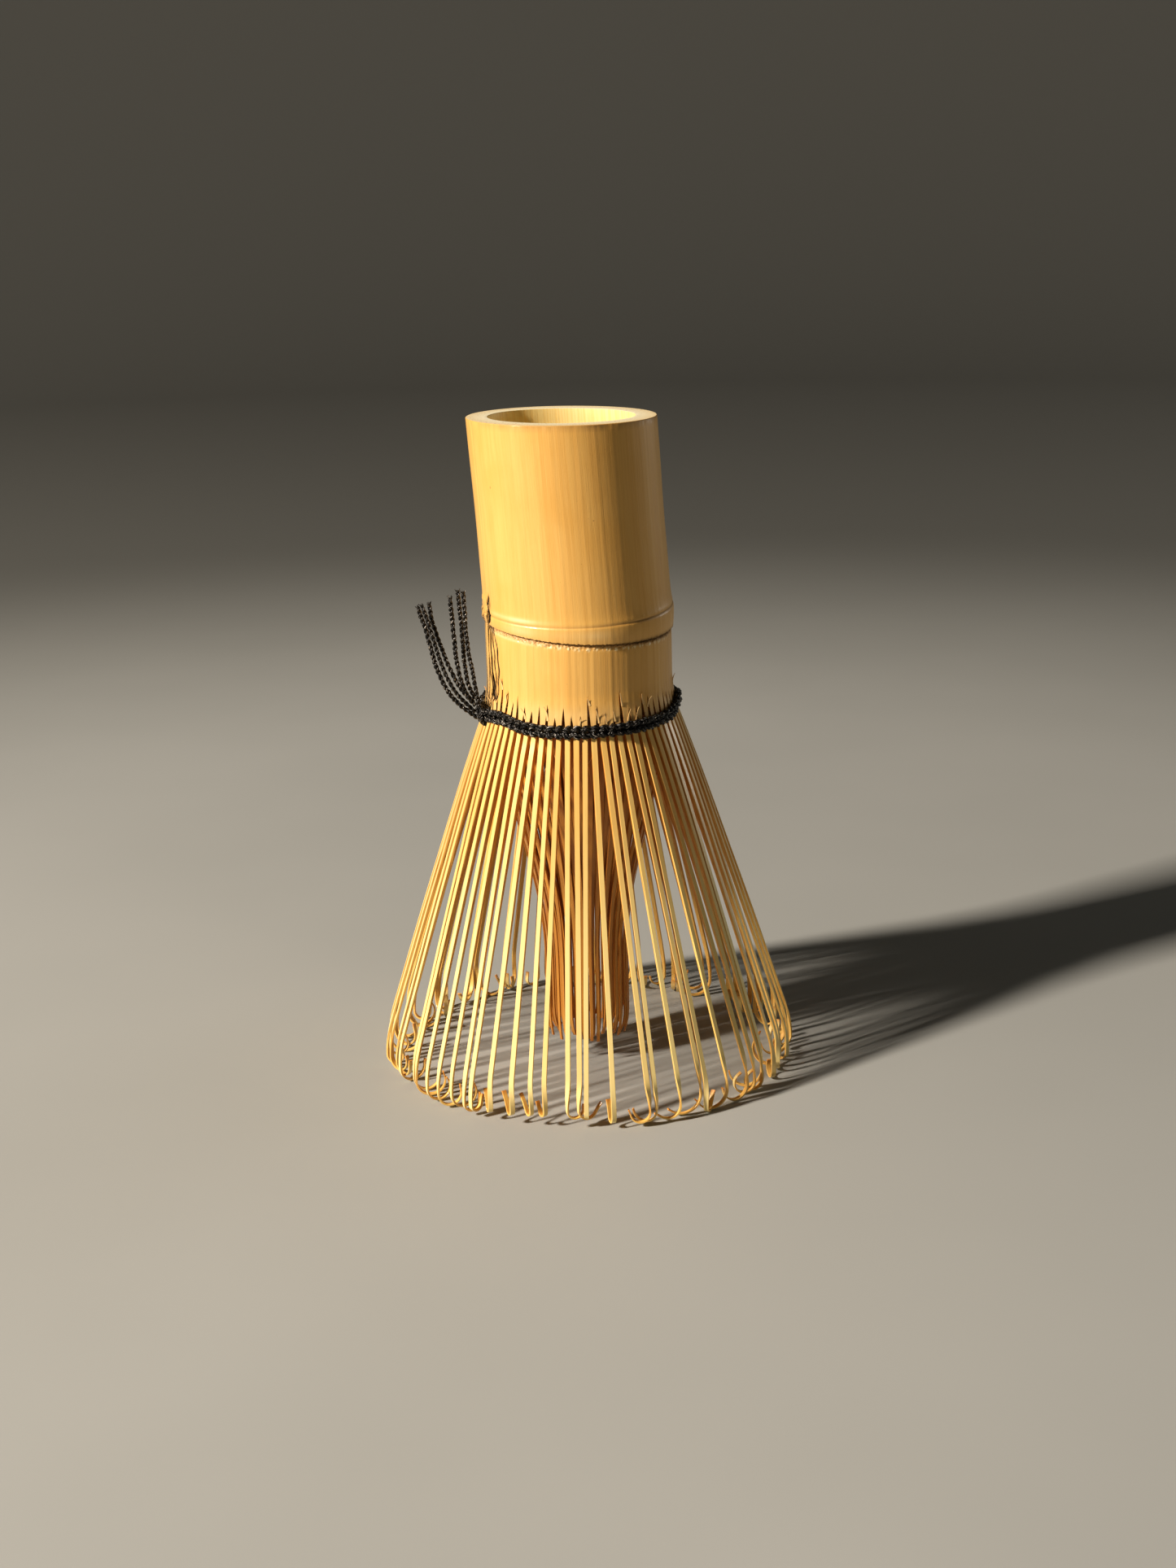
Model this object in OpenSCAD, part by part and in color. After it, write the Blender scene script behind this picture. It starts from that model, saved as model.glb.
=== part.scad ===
// Bamboo tea whisk. One bamboo culm is carved into a hollow handle and two crowns of fine tines,
// and a black waxed thread is woven between the crowns to spread them.
// It stands on its tine tips with the handle up. The origin is the centre of the tip plane.

/* [Handle] */
// Height from the tine tips to the top rim
total_h = 110; // [106:1:114]
// Outer radius of the handle
handle_r = 15.5; // [15:0.1:15.8]
// Radius of the hollow inside the handle
bore_r = 12.2; // [11.6:0.1:12.8]
// Lean of the handle above the node, in degrees
handle_lean = 3.4; // [0:0.2:4]

/* [Node] */
// Height of the underside of the node ring
node_z = 75; // [73:0.5:77]
// Height of the node ring
node_h = 4; // [3.6:0.2:4.6]
// Outer radius of the node's ridge
ridge_r = 15.85; // [15.6:0.05:16.2]
// Thickness of the wall that closes the culm at the node
septum_t = 2.2; // [1.6:0.2:2.6]

/* [Root] */
// Outer radius of the culm just under the node
root_r = 15.45; // [15:0.05:15.6]
// Outer radius of the culm at the thread
band_r = 16.35; // [16:0.05:16.6]
// Height of the tops of the slits
slit_z = 66; // [65:0.5:67]
// Height of the lower ends of the tine roots
crown_z = 60.95; // [60.8:0.05:61]
// Width of a slit between two outer tine roots
slit_w = 0.5; // [0.4:0.05:0.6]
// Radial thickness of the outer and the inner tine roots
crown_t = 1.1; // [0.9:0.05:1.1]

/* [Outer tines] */
// Number of groups of outer tines
outer_groups = 24; // [24]
// Outer tines in a group
outer_per_group = 3; // [3]
// Width of an outer tine
outer_w = 0.8; // [0.6:0.05:0.9]
// Slope of an outer tine from the vertical, in degrees
outer_slope = 18.5; // [16:0.5:20]
// Radius of the bend that brings a tine upright
bend_r = 19; // [15:1:24]
// Radius of the hook at the tip
hook_r = 2.2; // [1.8:0.1:2.6]
// How far the hook turns, in degrees
hook_turn = 195; // [170:5:210]
// How far the side tines of a group lean to its middle one, in degrees
gather = 0.5; // [0:0.1:0.6]

/* [Inner tines] */
// Number of groups of inner tines
inner_groups = 12; // [12]
// Inner tines in a group
inner_per_group = 6; // [6]
// Width of an inner tine
inner_w = 0.36; // [0.3:0.02:0.4]
// Radius at which the nearer inner tines come together
core_r = 5.7; // [5.4:0.1:6]
// Height at which the inner tines have come together
core_z = 18; // [14:1:22]
// Height of the inner tine tips
inner_tip_z = 4; // [3:0.5:6]

/* [Thread] */
// Thickness of the woven thread
thread_d = 0.84; // [0.78:0.02:0.84]
// Thickness of a thread tail
tail_d = 0.7; // [0.6:0.05:0.75]
// Height of the lower row of thread
thread_z = 61.55; // [61.5:0.05:61.7]

/* [Hidden] */
$fn = 64;
tine_gap = 0.15;                             // gap at a tine's root that lets it flex
tine_z = crown_z - tine_gap;                 // top of every tine
tine_root_t = 0.55;                          // thickness of a tine at its root
tine_tip_t = 0.3;                            // thickness of a tine at its tip
crown_in_r = band_r - crown_t;               // inner radius of the outer tine roots
inner_crown_r = 14.2;                        // outer radius of the inner tine roots
wall_in_r = inner_crown_r - crown_t;         // inner radius of the culm under the node
layer_gap = 1.1;                             // distance between the two rings of inner tips
tine_count = outer_groups * outer_per_group; // tines in each crown
pitch = 360 / tine_count;                    // angle from one slit to the next
node_top = node_z + node_h;
eps = 0.01;

scar_depth = 0.25;                           // depth of the groove of the sheath scar
septum_lift = 0.4;                           // height of the septum above the ring's underside
bud_at = 188;                                // direction of the bud scar
bud_r = 1.1;                                 // radius of the bud scar
bud_sink = 0.3;                              // how far the bud's centre lies inside the wall
knot_at = 198;                               // direction of the knot
knot_r = 1.15;                               // radius of the knot's two lobes
knot_out = 0.85;                             // distance of the knot's middle from the rows

// Routes of the thread tails, from the knot to the free end
tail_routes = [
    [[-16.9, -5.6, 61.6], [-19.0, -5.8, 63.2], [-21.3, -6.0, 65.7], [-22.8, -6.1, 68.8],
     [-23.8, -6.1, 72.0], [-24.7, -6.0, 76.0], [-25.9, -5.9, 80.1]],
    [[-17.3, -5.9, 62.7], [-19.2, -6.6, 64.8], [-20.9, -7.1, 67.3], [-22.2, -7.3, 70.4],
     [-23.2, -7.3, 73.8], [-24.1, -7.2, 77.2], [-25.1, -7.1, 80.6]],
    [[-17.3, -5.2, 63.6], [-19.5, -5.2, 66.4], [-21.0, -5.1, 69.3], [-22.2, -5.0, 72.5],
     [-23.2, -4.9, 75.6], [-23.9, -4.8, 78.2], [-24.2, -4.7, 80.3]],
    [[-17.4, -6.3, 64.1], [-18.8, -6.9, 66.5], [-19.6, -7.3, 69.3], [-20.0, -7.5, 72.2],
     [-20.2, -7.6, 75.2], [-20.4, -7.6, 78.6], [-20.6, -7.6, 81.8]],
    [[-17.4, -4.4, 64.6], [-18.4, -4.3, 67.2], [-18.8, -4.2, 70.0], [-19.0, -4.1, 73.2],
     [-19.1, -4.1, 76.4], [-19.3, -4.0, 79.4], [-19.5, -4.0, 82.2]],
    [[-16.7, -7.0, 64.0], [-17.0, -7.5, 66.8], [-17.4, -7.8, 69.8], [-17.9, -8.0, 73.0],
     [-18.2, -8.0, 76.2], [-18.3, -7.9, 79.4], [-18.4, -7.8, 82.6]]
];

function two_digits(n) = n < 10 ? str("0", n) : str(n);

// ---- culm ----

// The handle leans from the node up, and its rim is cut level
module handle_tube() {
    color("#dcb063")
    intersection() {
        translate([0, 0, node_top])
            rotate([0, -handle_lean, 0])
                difference() {
                    translate([0, 0, -10]) cylinder(r = handle_r, h = total_h);
                    translate([0, 0, -11]) cylinder(r = bore_r, h = total_h + 2);
                }
        translate([-2 * handle_r, -2 * handle_r, node_top])
            cube([4 * handle_r, 4 * handle_r, total_h - node_top]);
    }
}

// The node: a low ridge above a sheath scar, with the scar of a bud on one side.
// The heights on its outline are shares of the ring's height.
module node_ring() {
    color("#d3a55a")
    union() {
        translate([0, 0, node_z])
            rotate_extrude()
                polygon([
                    [bore_r, 0], [root_r, 0], [root_r, 0.1 * node_h],
                    [root_r - scar_depth, 0.25 * node_h], [root_r, 0.4 * node_h],
                    [ridge_r, 0.7 * node_h], [ridge_r, 0.8 * node_h],
                    [handle_r, node_h], [bore_r, node_h]
                ]);
        rotate([0, 0, bud_at])
            translate([handle_r - bud_sink, 0, node_z + node_h / 2])
                sphere(r = bud_r);
    }
}

// The wall that closes the culm inside the node
module node_septum() {
    color("#e3c283")
    translate([0, 0, node_z + septum_lift])
        cylinder(r = bore_r, h = septum_t);
}

// A star of spokes, one in each slit
module spokes(width) {
    for (i = [0 : tine_count - 1])
        rotate([0, 0, pitch * i])
            translate([0, -width / 2])
                square([band_r + 2, width]);
}

// The culm under the node, slit into the roots of both crowns of tines
module root_comb() {
    color("#d9ab5b")
    union() {
        difference() {
            rotate_extrude()
                polygon([
                    [wall_in_r, slit_z], [crown_in_r, slit_z], [crown_in_r, crown_z],
                    [band_r, crown_z], [root_r, slit_z + 2], [root_r, node_z], [wall_in_r, node_z]
                ]);
            translate([0, 0, crown_z - 1])
                linear_extrude(slit_z - crown_z + 1)
                    spokes(slit_w);
        }
        translate([0, 0, crown_z])
            linear_extrude(slit_z - crown_z + eps)
                intersection() {
                    spokes(inner_w);
                    difference() {
                        circle(r = inner_crown_r);
                        circle(r = wall_in_r);
                    }
                }
    }
}

// ---- tines ----

// A station is [radius, height, direction of the outer face in degrees]
function arc_stations(centre, r, from, to, steps) = [
    for (i = [0 : steps])
        let (a = from + (to - from) * i / steps)
            [centre[0] + r * cos(a), centre[1] + r * sin(a), a]
];

// Stations down an outer tine: straight slope, upright bend, hook
hook_centre_z = hook_r + tine_tip_t / 2;
slope_end_z = hook_centre_z + bend_r * sin(outer_slope);
root_mid_r = band_r - tine_root_t / 2;
slope_end_r = root_mid_r + (tine_z - slope_end_z) * tan(outer_slope);
upright_r = slope_end_r + bend_r * (1 - cos(outer_slope));
outer_stations = concat(
    [[root_mid_r, tine_z, 0]],
    arc_stations([upright_r - bend_r, hook_centre_z], bend_r, outer_slope, 0, 4),
    arc_stations([upright_r - hook_r, hook_centre_z], hook_r, -18, -90, 4),
    arc_stations([upright_r - hook_r, hook_centre_z], hook_r, -108, -hook_turn, 5)
);

// Stations down an inner tine: an S that brings it to the core, then straight to the tip
inner_root_r = inner_crown_r - tine_root_t;
function inner_stations(tip_r) = concat(
    [for (i = [0 : 8])
        [tip_r + (inner_root_r - tip_r) * (1 + cos(22.5 * i)) / 2,
         tine_z + (core_z - tine_z) * i / 8,
         0]],
    [[tip_r, inner_tip_z, 0]]
);

// Half the thickness of a tine at a height: it thins evenly from root to tip
function half_t(z) = (tine_tip_t + (tine_root_t - tine_tip_t) * z / tine_z) / 2;

// A flat blade through the stations
module blade(stations, width) {
    last = len(stations) - 1;
    side = function (i, sign)
        [stations[i][0] + sign * half_t(stations[i][1]) * cos(stations[i][2]),
         stations[i][1] + sign * half_t(stations[i][1]) * sin(stations[i][2])];
    rotate([90, 0, 0])
        linear_extrude(width, center = true)
            polygon(concat(
                [for (i = [0 : last]) side(i, 1)],
                [for (i = [last : -1 : 0]) side(i, -1)]
            ));
}

// One group of outer tines, which flexes as one piece
module outer_tines(group) {
    color("#e6bd6a")
    for (k = [-1 : 1])
        rotate([0, 0, group * 360 / outer_groups + (k + 0.5) * pitch])
            translate([0, 0, tine_z])
                rotate([-k * gather, 0, 0])
                    translate([0, 0, -tine_z])
                        blade(outer_stations, outer_w);
}

// One group of inner tines, whose tips lie in two rings
module inner_tines(group) {
    color("#cf9a4a")
    for (k = [0 : inner_per_group - 1])
        rotate([0, 0, group * 360 / inner_groups + (k - inner_per_group / 2 + 1) * pitch])
            blade(inner_stations(core_r + layer_gap * (k % 2)), inner_w);
}

// ---- thread ----

// One row of thread round the tine roots
module thread_row(ring_r, z) {
    color("#17130f")
    translate([0, 0, z])
        rotate_extrude()
            translate([ring_r, 0])
                circle(d = thread_d);
}

row_r = band_r + thread_d / 2;                  // radius of the rows outside the roots
inner_row_r = (crown_in_r + inner_crown_r) / 2; // radius of the row between the crowns

// The knot that ties the ends of the thread: a lower and an upper lobe
module thread_knot() {
    color("#17130f")
    rotate([0, 0, knot_at])
        for (lobe = [-1, 1])
            translate([row_r + knot_out, -lobe * knot_r / 2, thread_z + knot_r + lobe * thread_d])
                sphere(r = knot_r);
}

function unit(v) = v / norm(v);

// A tube of eight sides along a route
module thread_tail(route) {
    sides = 8;
    steps = 2;
    last = len(route) - 1;
    near = function (i) route[max(0, min(last, i))];
    spline = function (i, t)
        0.5 * (2 * near(i) + (near(i + 1) - near(i - 1)) * t
            + (2 * near(i - 1) - 5 * near(i) + 4 * near(i + 1) - near(i + 2)) * t * t
            + (3 * near(i) - near(i - 1) - 3 * near(i + 1) + near(i + 2)) * t * t * t);
    points = concat([for (i = [0 : last - 1], s = [0 : steps - 1]) spline(i, s / steps)], [route[last]]);
    rings = len(points);
    heading = function (i) unit(points[min(i + 1, rings - 1)] - points[max(i - 1, 0)]);
    across = function (i) unit(cross(heading(i), [0, 1, 0]));
    corners = [
        for (i = [0 : rings - 1], s = [0 : sides - 1])
            let (a = 360 * s / sides, u = across(i), v = cross(heading(i), u))
                points[i] + tail_d / 2 * (cos(a) * u + sin(a) * v)
    ];
    color("#17130f")
    polyhedron(corners, concat(
        [[for (s = [sides - 1 : -1 : 0]) s]],
        [[for (s = [0 : sides - 1]) (rings - 1) * sides + s]],
        [for (i = [0 : rings - 2], s = [0 : sides - 1])
            let (n = (s + 1) % sides)
                [i * sides + s, i * sides + n, (i + 1) * sides + n, (i + 1) * sides + s]]
    ));
}

handle_tube();
node_ring();
node_septum();
root_comb();
thread_row(row_r, thread_z + thread_d);  // thread_row_upper
thread_row(row_r, thread_z);  // thread_row_lower
thread_row(inner_row_r, thread_z + thread_d / 2);  // thread_inner_row
thread_knot();
for (i = [1 : len(tail_routes)])
    thread_tail(tail_routes[i - 1]);
for (i = [1 : outer_groups])
    outer_tines(i - 1);
for (i = [1 : inner_groups])
    inner_tines(i - 1);
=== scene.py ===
"""The looks of the bamboo tea whisk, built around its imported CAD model.

Shapes are worked out in millimetres, with +Z up and -Y to the front, and are scaled to metres as each
mesh is made. An azimuth is in degrees round the whisk from its front, positive towards +X.
"""
import functools
import math

import bmesh
import bpy
import numpy as np
from mathutils import Matrix, Vector


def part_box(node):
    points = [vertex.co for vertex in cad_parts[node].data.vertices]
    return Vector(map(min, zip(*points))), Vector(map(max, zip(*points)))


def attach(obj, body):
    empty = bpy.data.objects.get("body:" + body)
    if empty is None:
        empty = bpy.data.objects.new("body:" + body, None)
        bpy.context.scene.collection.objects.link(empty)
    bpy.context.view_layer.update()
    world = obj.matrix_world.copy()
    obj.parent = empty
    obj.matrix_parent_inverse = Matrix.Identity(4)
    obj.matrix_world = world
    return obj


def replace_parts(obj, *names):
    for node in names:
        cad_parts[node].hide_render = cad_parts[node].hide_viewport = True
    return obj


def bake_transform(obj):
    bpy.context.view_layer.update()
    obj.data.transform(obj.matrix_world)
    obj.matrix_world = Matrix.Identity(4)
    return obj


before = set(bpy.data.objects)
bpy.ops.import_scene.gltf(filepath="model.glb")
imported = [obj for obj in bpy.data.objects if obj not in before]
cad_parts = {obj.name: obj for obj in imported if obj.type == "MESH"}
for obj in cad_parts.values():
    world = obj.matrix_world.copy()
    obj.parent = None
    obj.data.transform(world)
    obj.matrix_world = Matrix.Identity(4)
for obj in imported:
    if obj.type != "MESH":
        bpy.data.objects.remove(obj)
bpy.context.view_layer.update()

MM = 0.001
rng = np.random.default_rng(11)


# ---- sizes, taken from the frame ----

def cad_mm(node):
    """The lowest and highest corners of a CAD node, in millimetres."""
    low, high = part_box(node)
    return np.array(low) / MM, np.array(high) / MM


tube_low, tube_high = cad_mm("handle_tube")
septum_low, septum_high = cad_mm("node_septum")
comb_low, comb_high = cad_mm("root_comb")
RIM_Z = tube_high[2]
NODE_TOP = tube_low[2]
HANDLE_R = (tube_high[1] - tube_low[1]) / 2
LEAN = -(tube_low[0] + HANDLE_R) / (RIM_Z - NODE_TOP)
BORE_R = (septum_high[0] - septum_low[0]) / 2
CROWN_Z = comb_low[2]
BAND_R = comb_high[0]
TIP_R = cad_mm("outer_tines_01")[1][0]
INNER_TIP_Z = cad_mm("inner_tines_01")[0][2]

TINES = 72
PITCH = 360 / TINES
OUTER_GROUPS, INNER_GROUPS = 24, 12

ROOT_R = 15.42          # culm between the node and the slits
WALL_IN_R = 13.1        # inside of the culm under the node
LAND_IN_R = 15.6        # inside of an outer tine's root
CORD_D = 1.00           # the woven thread
TAIL_D = 0.80           # a loose end of the thread
ROW_OFFSET = 0.53       # how far each outer row lies above or below the thread's line


# ---- small shape functions ----

def bell(x, centre, width):
    """A smooth bump of height 1."""
    return np.exp(-(((x - centre) / width) ** 2))


def ease(low, high, x):
    """0 below low, 1 above high, smooth between."""
    t = np.clip((x - low) / (high - low), 0.0, 1.0)
    return t * t * (3 - 2 * t)


def between(rise, full, fall, end, x):
    """1 between full and fall, 0 below rise and above end, smooth at both sides."""
    return ease(rise, full, x) * (1 - ease(fall, end, x))


def highest(*masks):
    """The highest of several masks at each point."""
    return functools.reduce(np.maximum, masks)


def wrap(degrees):
    """An angle between -180 and 180."""
    return (np.asarray(degrees, float) + 180) % 360 - 180


def polar(azimuth, r, z):
    """Points at an azimuth and a radius, as x, y, z."""
    a = np.radians(azimuth)
    return np.stack(np.broadcast_arrays(r * np.sin(a), -r * np.cos(a), z), axis=-1)


def ripple(azimuth, waves, seed, roll_off=1.0):
    """A closed wavy line round the culm, of about unit height."""
    local = np.random.default_rng(seed)
    a = np.radians(azimuth)
    return sum(np.sin(n * a + local.uniform(0, 2 * math.pi)) / n ** roll_off for n in waves)


def cos_az(azimuth):
    return np.cos(np.radians(azimuth))


def sin_az(azimuth):
    return np.sin(np.radians(azimuth))


# ---- meshes ----

def make_object(name, verts_mm, faces, materials, attributes=None, sharp=32, face_material=None):
    """A smooth object with its float attributes and sharp edges."""
    mesh = bpy.data.meshes.new(name)
    mesh.from_pydata((np.asarray(verts_mm) * MM).tolist(), [], faces)
    for material in materials:
        mesh.materials.append(material)
    for key, values in (attributes or {}).items():
        values = np.asarray(values, np.float32)
        kind, field = ("FLOAT", "value") if values.ndim == 1 else ("FLOAT_VECTOR", "vector")
        mesh.attributes.new(key, kind, "POINT").data.foreach_set(field, values.ravel())
    mesh.polygons.foreach_set("use_smooth", [True] * len(mesh.polygons))
    if face_material is not None:
        mesh.polygons.foreach_set("material_index", face_material)
    mesh.update()
    mesh.set_sharp_from_angle(angle=math.radians(sharp))
    obj = bpy.data.objects.new(name, mesh)
    bpy.context.scene.collection.objects.link(obj)
    return obj


class Parts:
    """Collects several swept or turned shapes into one mesh."""

    def __init__(self):
        self.verts, self.faces, self.count = [], [], 0
        self.values = {}

    def add(self, verts, faces, **values):
        verts = np.asarray(verts, float).reshape(-1, 3)
        self.verts.append(verts)
        self.faces.extend([[i + self.count for i in f] for f in faces])
        self.count += len(verts)
        for key, v in values.items():
            v = np.asarray(v, float)
            if v.ndim == 0:
                v = np.full(len(verts), float(v))
            self.values.setdefault(key, []).append(v)

    def build(self, name, material, sharp=32):
        attributes = {k: np.concatenate(v) for k, v in self.values.items()}
        return make_object(name, np.concatenate(self.verts), self.faces, [material], attributes, sharp)


def grid_faces(rows, columns, close_rows=False):
    """Quads of a grid whose vertices are numbered row by row. Its columns go all the way round."""
    faces = []
    for i in range(rows if close_rows else rows - 1):
        n = (i + 1) % rows
        for j in range(columns):
            m = (j + 1) % columns
            faces.append([i * columns + j, i * columns + m, n * columns + m, n * columns + j])
    return faces


def sweep(points, across, out, section, half_w, half_t):
    """A bar through points, its section scaled by half_w across and half_t outwards, as verts and faces."""
    rows, columns = len(points), len(section)
    section = np.asarray(section)
    verts = (points[:, None, :]
             + across[:, None, :] * (section[None, :, 0] * half_w[:, None])[..., None]
             + out[:, None, :] * (section[None, :, 1] * half_t[:, None])[..., None])
    faces = grid_faces(rows, columns)
    faces.append(list(range(columns))[::-1])
    faces.append([(rows - 1) * columns + j for j in range(columns)])
    return verts.reshape(-1, 3), faces


def ring(corners):
    """A round section of unit radius, with its angles."""
    angles = np.linspace(0, 2 * math.pi, corners, endpoint=False)
    return angles, np.stack([np.cos(angles), np.sin(angles)], axis=1)


def distances(points):
    """How far along a path each of its points is."""
    return np.concatenate([[0], np.cumsum(np.linalg.norm(np.diff(points, axis=0), axis=1))])


def unit(v):
    """Directions of length 1."""
    return v / np.linalg.norm(v, axis=-1, keepdims=True)


def tangents(points):
    """The direction of a path at each of its points."""
    return unit(np.gradient(points, axis=0))


def carried_frame(points, start):
    """Two directions across a path, carried along it without twist."""
    t = tangents(points)
    u = np.empty_like(points)
    u[0] = start - t[0] * np.dot(start, t[0])
    for i in range(1, len(points)):
        u[i] = u[i - 1] - t[i] * np.dot(u[i - 1], t[i])
    u = unit(u)
    return u, np.cross(t, u)


def through(points, spacing):
    """A smooth path (Catmull-Rom) through points, resampled to an even spacing."""
    p = np.asarray(points, float)
    p = np.vstack([2 * p[0] - p[1], p, 2 * p[-1] - p[-2]])
    t = np.linspace(0, 1, 40, endpoint=False)[:, None]
    fine = []
    for a, b, c, d in zip(p[:-3], p[1:-2], p[2:-1], p[3:]):
        fine.append(0.5 * (2 * b + (c - a) * t + (2 * a - 5 * b + 4 * c - d) * t ** 2
                           + (3 * b - a - 3 * c + d) * t ** 3))
    fine = np.vstack(fine + [p[-2:-1]])
    return even(fine, spacing)


def even(points, spacing):
    """The same path with points at an even spacing."""
    s = distances(points)
    n = max(3, int(round(s[-1] / spacing)) + 1)
    at = np.linspace(0, s[-1], n)
    return np.stack([np.interp(at, s, points[:, k]) for k in range(3)], axis=1)


# ---- materials ----

class Nodes:
    """Builds a node tree in a few readable calls."""

    def __init__(self, name):
        self.material = bpy.data.materials.new(name)
        self.material.use_nodes = True
        self.tree = self.material.node_tree
        self.shader = self.tree.nodes["Principled BSDF"]

    def node(self, kind, settings=None, **inputs):
        n = self.tree.nodes.new("ShaderNode" + kind)
        for key, value in (settings or {}).items():
            setattr(n, key, value)
        for key, value in inputs.items():
            self.put(n.inputs[key.replace("_", " ")], value)
        return n

    def put(self, socket, value):
        if isinstance(value, bpy.types.NodeSocket):
            self.tree.links.new(value, socket)
        elif isinstance(value, tuple) and len(value) == 3 and socket.type == "RGBA":
            socket.default_value = (*value, 1)
        else:
            socket.default_value = value

    def attribute(self, name, output="Fac"):
        return self.node("Attribute", {"attribute_name": name}).outputs[output]

    def stretched(self, scale):
        """The grain coordinates, in millimetres, scaled across, along and in depth."""
        mapping = self.node("Mapping", Vector=self.attribute("grain", "Vector"), Scale=scale)
        return mapping.outputs["Vector"]

    def noise(self, vector, scale=1.0, detail=3.0, roughness=0.55):
        n = self.node("TexNoise", Vector=vector, Scale=scale, Detail=detail, Roughness=roughness)
        return n.outputs["Fac"]

    def dots(self, vector, scale=1.0):
        """How far each point is from the nearest of many scattered dots."""
        return self.node("TexVoronoi", Vector=vector, Scale=scale).outputs["Distance"]

    def span(self, value, low, high, to_low=0.0, to_high=1.0):
        """A smooth step from to_low to to_high, as a value goes from low to high."""
        n = self.node("MapRange", {"interpolation_type": "SMOOTHSTEP"}, Value=value)
        limits = {"From Min": low, "From Max": high, "To Min": to_low, "To Max": to_high}
        for key, limit in limits.items():
            n.inputs[key].default_value = limit
        return n.outputs["Result"]

    def math(self, operation, a, b):
        n = self.node("Math", {"operation": operation})
        self.put(n.inputs[0], a)
        self.put(n.inputs[1], b)
        return n.outputs[0]

    def mix(self, factor, a, b, blend="MIX"):
        n = self.node("Mix", {"data_type": "RGBA", "blend_type": blend})
        self.put(n.inputs[0], factor)
        self.put(n.inputs[6], a)
        self.put(n.inputs[7], b)
        return n.outputs[2]

    def bump(self, height, distance, strength=1.0):
        return self.node("Bump", Height=height, Distance=distance, Strength=strength).outputs["Normal"]

    def shade(self, **inputs):
        for key, value in inputs.items():
            self.put(self.shader.inputs[key.replace("_", " ")], value)
        return self.material


def culm_skin():
    """The shaved and polished outside of the culm."""
    n = Nodes("culm_skin")
    fine = n.noise(n.stretched((7.0, 0.10, 1.0)), detail=4, roughness=0.6)
    broad = n.noise(n.stretched((0.9, 0.035, 1.0)), detail=3)
    cloud = n.noise(n.stretched((0.16, 0.10, 1.0)), detail=2)
    colour = n.mix(n.span(fine, 0.30, 0.70), (0.735, 0.425, 0.116), (0.80, 0.480, 0.146))
    colour = n.mix(n.span(broad, 0.35, 0.65, 0.0, 0.45), colour, (0.84, 0.535, 0.175))
    colour = n.mix(n.span(cloud, 0.45, 0.75, 0.0, 0.45), colour, (0.73, 0.410, 0.100))
    fibre = n.noise(n.stretched((16.0, 0.28, 1.0)), detail=2)
    colour = n.mix(n.span(fibre, 0.62, 0.76, 0.0, 0.30), colour, (0.50, 0.27, 0.06))
    for across, along, size in ((0.20, 0.13, 0.030), (0.55, 0.30, 0.028)):
        speck = n.dots(n.stretched((across, along, 1.0)))
        colour = n.mix(n.span(speck, size * 0.6, size, 0.6, 0.0), colour, (0.30, 0.15, 0.05))
    porous = n.noise(n.stretched((5.0, 5.0, 1.0)), detail=3)
    sheath = n.mix(n.span(porous, 0.38, 0.62), (0.36, 0.17, 0.06), (0.74, 0.49, 0.23))
    colour = n.mix(n.attribute("sheath"), colour, sheath)
    # Pale: real broken fibres, the scar's pale edge and a paler culm near the thread, and painted highlights
    # above the ridge and across the node's band.
    colour = n.mix(n.attribute("pale"), colour, (0.92, 0.78, 0.48))
    # Dark lines: brown along the ridge and the scar, near black as painted shade in the crack and creases by
    # the bud and along the lines on the shaded right.
    brown = n.mix(n.span(n.attribute("stain"), 0.0, 0.6), (0.30, 0.13, 0.035), (0.008, 0.003, 0.001))
    colour = n.mix(n.attribute("stain"), colour, brown)
    split = n.mix(n.span(porous, 0.40, 0.60), (0.34, 0.14, 0.03), (0.58, 0.28, 0.07))
    colour = n.mix(n.span(n.attribute("raw"), 0.02, 0.16), colour, split)
    rough = n.math("ADD", n.span(fine, 0.3, 0.7, 0.0, 0.12), 0.33)
    rough = n.math("ADD", rough, n.math("MULTIPLY", n.attribute("sheath"), 0.35))
    # Where the dark lines are, the skin is rougher and loses its coat, so the painted shade there stays
    # dark.
    rough = n.math("ADD", rough, n.math("MULTIPLY", n.attribute("stain"), 0.55))
    coat = n.span(n.attribute("stain"), 0.1, 0.7, 0.25, 0.0)
    height = n.math("ADD", n.math("MULTIPLY", fine, 0.6), n.math("MULTIPLY", fibre, 0.5))
    return n.shade(Base_Color=colour, Roughness=rough, Normal=n.bump(height, 0.00006, 0.6),
                   Coat_Weight=coat, Coat_Roughness=0.20)


def culm_end():
    """The cut end of the wall: cream, with the dots of the bamboo's vessels, closer near the skin."""
    n = Nodes("culm_end")
    depth = n.attribute("depth")
    flat = n.attribute("flat", "Vector")
    colour = n.mix(depth, (0.94, 0.88, 0.64), (0.86, 0.71, 0.43))
    for scale, low, high, part in ((2.6, 0.16, 0.30, (0.40, 0.75)), (1.4, 0.12, 0.22, (0.75, 0.40))):
        where = n.span(depth, part[0], part[1])
        dot = n.math("MULTIPLY", n.span(n.dots(flat, scale), low, high, 0.55, 0.0), where)
        colour = n.mix(dot, colour, (0.36, 0.20, 0.08))
    saw = n.noise(n.node("Mapping", Vector=flat, Scale=(3.0, 0.8, 1.0)).outputs[0])
    return n.shade(Base_Color=colour, Roughness=0.62, Normal=n.bump(saw, 0.00006, 0.5))


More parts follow.
